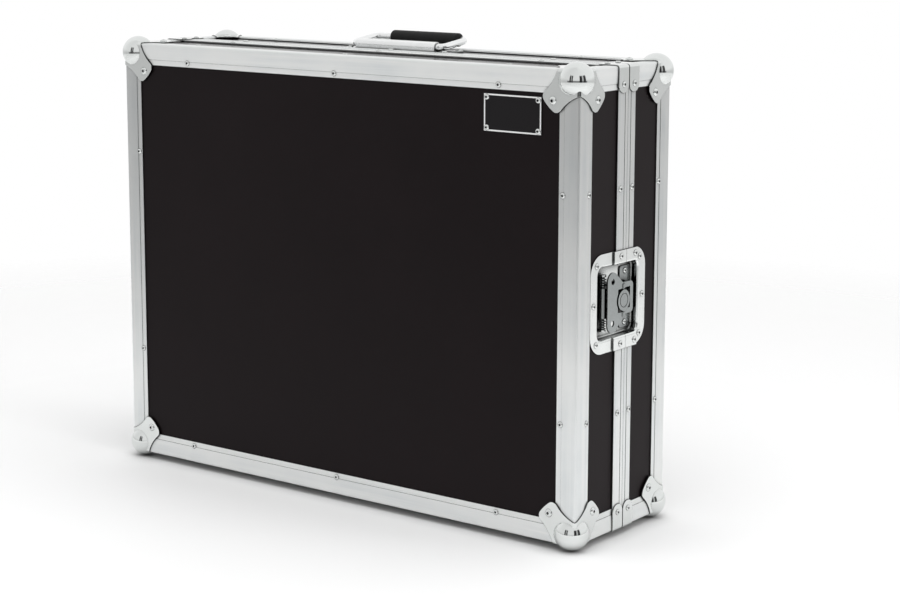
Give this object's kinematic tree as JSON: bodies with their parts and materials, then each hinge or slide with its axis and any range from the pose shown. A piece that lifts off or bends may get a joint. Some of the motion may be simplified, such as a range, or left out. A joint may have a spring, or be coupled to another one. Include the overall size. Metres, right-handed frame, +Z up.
{
  "type": "mixer hard case",
  "caption": "Upright flight case for an audio mixer: foam-lined black panels in metal edging, ball corners, butterfly latches, a lift-off lid and a top handle.",
  "frame": {"origin": "centre of the bounding box's bottom face: the floor under the four lower ball corners", "axes": "+Z up with the case standing on its lower ball corners and its handle on top, +X along its length, -Y out of the lid's face"},
  "size_m": [0.6796, 0.1956, 0.5367],
  "materials": {
    "laminated_panel": "black laminate on plywood, fine grain, satin",
    "extrusion": "satin anodised, fine lines along its length",
    "corner_steel": "bright plated steel",
    "rivet": "bright rivet heads",
    "label": "bare satin plate",
    "foam": "charcoal open-cell foam",
    "handle_steel": "bright plated steel",
    "grip_rubber": "matt black moulded rubber",
    "latch_dish": "bright zinc plate",
    "latch_action": "bright zinc plate",
    "spring_steel": "spring wire"
  },
  "bodies": {
    "base": {"base_ball_corner_bottom_left": "corner_steel", "base_ball_corner_bottom_right": "corner_steel", "base_ball_corner_top_left": "corner_steel", "base_ball_corner_top_right": "corner_steel", "base_bottom_edge": "extrusion", "base_bottom_wall": "laminated_panel", "base_corner_edges": "extrusion", "base_face_panel": "laminated_panel", "base_foam_lining": "foam", "base_foam_pad": "foam", "base_left_edge": "extrusion", "base_left_wall": "laminated_panel", "base_right_edge": "extrusion", "base_right_wall": "laminated_panel", "base_rivets": "rivet", "base_seam_braces": "corner_steel", "base_seam_extrusions": "extrusion", "base_top_edge": "extrusion", "base_top_wall": "laminated_panel", "handle_plate": "handle_steel", "latch_left_base_dish": "latch_dish", "latch_left_keeper": "latch_dish", "latch_right_base_dish": "latch_dish", "latch_right_keeper": "latch_dish"},
    "lid": {"label_plate": "label", "latch_left_hinge_pin": "latch_dish", "latch_left_lid_dish": "latch_dish", "latch_left_springs": "spring_steel", "latch_right_hinge_pin": "latch_dish", "latch_right_lid_dish": "latch_dish", "latch_right_springs": "spring_steel", "lid_ball_corner_bottom_left": "corner_steel", "lid_ball_corner_bottom_right": "corner_steel", "lid_ball_corner_top_left": "corner_steel", "lid_ball_corner_top_right": "corner_steel", "lid_bottom_edge": "extrusion", "lid_bottom_wall": "laminated_panel", "lid_corner_edges": "extrusion", "lid_face_panel": "laminated_panel", "lid_foam_lining": "foam", "lid_foam_pad": "foam", "lid_left_edge": "extrusion", "lid_left_wall": "laminated_panel", "lid_right_edge": "extrusion", "lid_right_wall": "laminated_panel", "lid_rivets": "rivet", "lid_seam_braces": "corner_steel", "lid_seam_extrusions": "extrusion", "lid_top_edge": "extrusion", "lid_top_wall": "laminated_panel"},
    "handle": {"handle_bail": "handle_steel", "handle_grip": "grip_rubber"},
    "right_arm": {"latch_right_arm": "latch_action"},
    "right_hub": {"latch_right_hub": "latch_action"},
    "right_wing": {"latch_right_wing": "latch_action"},
    "right_hook": {"latch_right_hook": "latch_action"},
    "left_arm": {"latch_left_arm": "latch_action"},
    "left_hub": {"latch_left_hub": "latch_action"},
    "left_wing": {"latch_left_wing": "latch_action"},
    "left_hook": {"latch_left_hook": "latch_action"}
  },
  "joints": [
    {"name": "lid_lift_off", "type": "slide", "parent": "base", "child": "lid", "axis": [0, -1, 0], "range_m": [0, 0.25]},
    {"name": "handle_swing", "type": "hinge", "parent": "base", "child": "handle", "pos_m": [0, 0.026, 0.5228], "axis": [1, 0, 0], "range_deg": [0, 90]},
    {"name": "right_latch_tilt", "type": "hinge", "parent": "lid", "child": "right_arm", "pos_m": [0.3273, -0.034, 0.2648], "axis": [0, 0, -1], "range_deg": [0, 75]},
    {"name": "right_latch_twist", "type": "hinge", "parent": "right_arm", "child": "right_hub", "pos_m": [0.332, -0.0055, 0.2648], "axis": [1, 0, 0], "range_deg": [0, 180]},
    {"name": "right_wing_fold", "type": "hinge", "parent": "right_hub", "child": "right_wing", "pos_m": [0.3346, -0.0055, 0.2648], "axis": [0, 0, 1], "range_deg": [0, 90]},
    {"name": "right_hook_slide", "type": "slide", "parent": "right_arm", "child": "right_hook", "axis": [0, 1, 0], "range_m": [0, 0.005]},
    {"name": "left_latch_tilt", "type": "hinge", "parent": "lid", "child": "left_arm", "pos_m": [-0.3273, -0.034, 0.2648], "axis": [0, 0, 1], "range_deg": [0, 75]},
    {"name": "left_latch_twist", "type": "hinge", "parent": "left_arm", "child": "left_hub", "pos_m": [-0.332, -0.0055, 0.2648], "axis": [-1, 0, 0], "range_deg": [0, 180]},
    {"name": "left_wing_fold", "type": "hinge", "parent": "left_hub", "child": "left_wing", "pos_m": [-0.3346, -0.0055, 0.2648], "axis": [0, 0, -1], "range_deg": [0, 90]},
    {"name": "left_hook_slide", "type": "slide", "parent": "left_arm", "child": "left_hook", "axis": [0, 1, 0], "range_m": [0, 0.005]}
  ],
  "couplings": [
    {"joint": "right_hook_slide", "follows": "right_latch_twist", "m_per_rad": 0.00159},
    {"joint": "left_hook_slide", "follows": "left_latch_twist", "m_per_rad": 0.00159}
  ]
}
